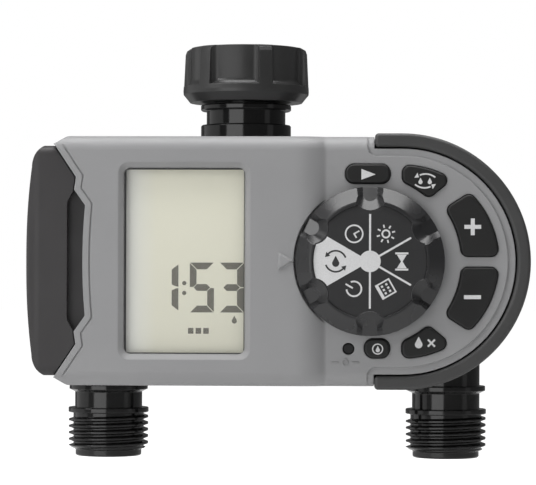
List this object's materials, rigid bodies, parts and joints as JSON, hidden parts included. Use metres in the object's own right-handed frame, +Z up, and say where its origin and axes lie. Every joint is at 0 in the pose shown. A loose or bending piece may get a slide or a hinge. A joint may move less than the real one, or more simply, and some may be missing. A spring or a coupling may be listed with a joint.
{
  "type": "drip irrigation timer",
  "caption": "Battery hose-tap irrigation timer: display, rotary dial and push keys on a grey case, swivel inlet nut above, threaded outlets below, sliding battery drawer.",
  "frame": {"origin": "centre of the inlet nut's mouth, on the axis of the tap's thread", "axes": "+Z up along the inlet axis, -Y the front with the display and dial, +X to the right as seen from the front"},
  "size_m": [0.1641, 0.0679, 0.1381],
  "materials": {
    "case_grey": "fine moulded texture, satin",
    "case_black": "fine moulded texture",
    "fitting_black": "smooth moulded, semi-gloss",
    "nut_black": "satin moulded",
    "bumper_rubber": "matte overmoulded rubber",
    "grip_black": "satin moulded",
    "key_rubber": "matte, printed white marks",
    "dial_black": "satin",
    "dial_print": "printed in white",
    "window_clear": "clear",
    "lcd_glass": "pale green-grey display",
    "inner_plastic": "natural moulded",
    "board_green": "solder mask",
    "chip_black": "epoxy",
    "steel": "plain",
    "spring_steel": "drawn wire",
    "brass": "stamped",
    "seal_rubber": "matte",
    "cell_wrap": "plain wrapper",
    "coil_copper": "enamelled winding under tape",
    "lead_red": "wire insulation"
  },
  "bodies": {
    "case": {"front_housing": "case_grey", "rear_housing": "case_black", "side_bumper": "bumper_rubber", "case_screws": "steel", "housing_gasket": "seal_rubber", "battery_sleeve": "inner_plastic", "sleeve_contacts": "brass", "display_window": "window_clear", "lcd_panel": "lcd_glass", "lcd_holder": "case_black", "zebra_strip": "seal_rubber", "main_board": "board_green", "board_screws": "steel", "controller_chip": "chip_black", "capacitor": "chip_black", "keypad_mat": "seal_rubber", "switch_domes": "spring_steel", "dial_seal": "seal_rubber", "detent_spring": "spring_steel", "inlet_stem": "fitting_black", "inlet_washer": "seal_rubber", "filter_screen": "spring_steel", "manifold_body": "fitting_black", "coil_yokes": "steel", "valve_leads": "lead_red", "battery_leads": "lead_red", "left_outlet": "fitting_black", "left_bonnet": "inner_plastic", "left_diaphragm": "seal_rubber", "left_disc_spring": "spring_steel", "left_coil": "coil_copper", "left_plunger_spring": "spring_steel", "right_outlet": "fitting_black", "right_bonnet": "inner_plastic", "right_diaphragm": "seal_rubber", "right_disc_spring": "spring_steel", "right_coil": "coil_copper", "right_plunger_spring": "spring_steel"},
    "drawer": {"battery_grip": "grip_black", "battery_tray": "case_black", "drawer_seal": "seal_rubber", "tray_contacts": "spring_steel", "battery_cells": "cell_wrap"},
    "dial": {"dial_knob": "dial_black", "dial_face": "dial_print", "dial_spindle": "steel", "dial_rotor": "inner_plastic", "dial_wiper": "brass"},
    "nut": {"swivel_nut": "nut_black"},
    "reset_key": {"reset_button": "key_rubber"},
    "start_key": {"start_button": "key_rubber"},
    "rain_key": {"rain_button": "key_rubber"},
    "station_key": {"station_button": "key_rubber"},
    "manual_key": {"manual_button": "key_rubber"},
    "plus_key": {"plus_button": "key_rubber"},
    "minus_key": {"minus_button": "key_rubber"},
    "left_disc": {"left_valve_disc": "inner_plastic"},
    "left_core": {"left_plunger": "steel"},
    "right_disc": {"right_valve_disc": "inner_plastic"},
    "right_core": {"right_plunger": "steel"}
  },
  "joints": [
    {"name": "drawer_slide", "type": "slide", "parent": "case", "child": "drawer", "axis": [-1, 0, 0], "range_m": [0, 0.045]},
    {"name": "dial_turn", "type": "hinge", "parent": "case", "child": "dial", "pos_m": [0.0424, -0.042, -0.0723], "axis": [0, -1, 0], "continuous": true},
    {"name": "nut_turn", "type": "hinge", "parent": "case", "child": "nut", "pos_m": [0, 0, -0.0123], "axis": [0, 0, 1], "continuous": true},
    {"name": "start_press", "type": "slide", "parent": "case", "child": "start_key", "axis": [0, 1, 0], "range_m": [0, 0.0008], "stiffness_N_per_m": 600, "springref_m": -0.0008},
    {"name": "rain_press", "type": "slide", "parent": "case", "child": "rain_key", "axis": [0, 1, 0], "range_m": [0, 0.0008], "stiffness_N_per_m": 600, "springref_m": -0.0008},
    {"name": "station_press", "type": "slide", "parent": "case", "child": "station_key", "axis": [0, 1, 0], "range_m": [0, 0.0008], "stiffness_N_per_m": 600, "springref_m": -0.0008},
    {"name": "manual_press", "type": "slide", "parent": "case", "child": "manual_key", "axis": [0, 1, 0], "range_m": [0, 0.0008], "stiffness_N_per_m": 600, "springref_m": -0.0008},
    {"name": "plus_press", "type": "slide", "parent": "case", "child": "plus_key", "axis": [0, 1, 0], "range_m": [0, 0.0008], "stiffness_N_per_m": 600, "springref_m": -0.0008},
    {"name": "minus_press", "type": "slide", "parent": "case", "child": "minus_key", "axis": [0, 1, 0], "range_m": [0, 0.0008], "stiffness_N_per_m": 600, "springref_m": -0.0008},
    {"name": "reset_press", "type": "slide", "parent": "case", "child": "reset_key", "axis": [0, 1, 0], "range_m": [0, 0.0008], "stiffness_N_per_m": 600, "springref_m": -0.0008},
    {"name": "left_core_lift", "type": "slide", "parent": "case", "child": "left_core", "axis": [0, 0, 1], "range_m": [0, 0.0018], "stiffness_N_per_m": 300, "springref_m": -0.001, "deforming": ["left_plunger_spring"]},
    {"name": "left_disc_lift", "type": "slide", "parent": "case", "child": "left_disc", "axis": [0, 0, 1], "range_m": [0, 0.0012], "stiffness_N_per_m": 300, "springref_m": -0.001, "deforming": ["left_disc_spring"]},
    {"name": "right_core_lift", "type": "slide", "parent": "case", "child": "right_core", "axis": [0, 0, 1], "range_m": [0, 0.0018], "stiffness_N_per_m": 300, "springref_m": -0.001, "deforming": ["right_plunger_spring"]},
    {"name": "right_disc_lift", "type": "slide", "parent": "case", "child": "right_disc", "axis": [0, 0, 1], "range_m": [0, 0.0012], "stiffness_N_per_m": 300, "springref_m": -0.001, "deforming": ["right_disc_spring"]}
  ]
}
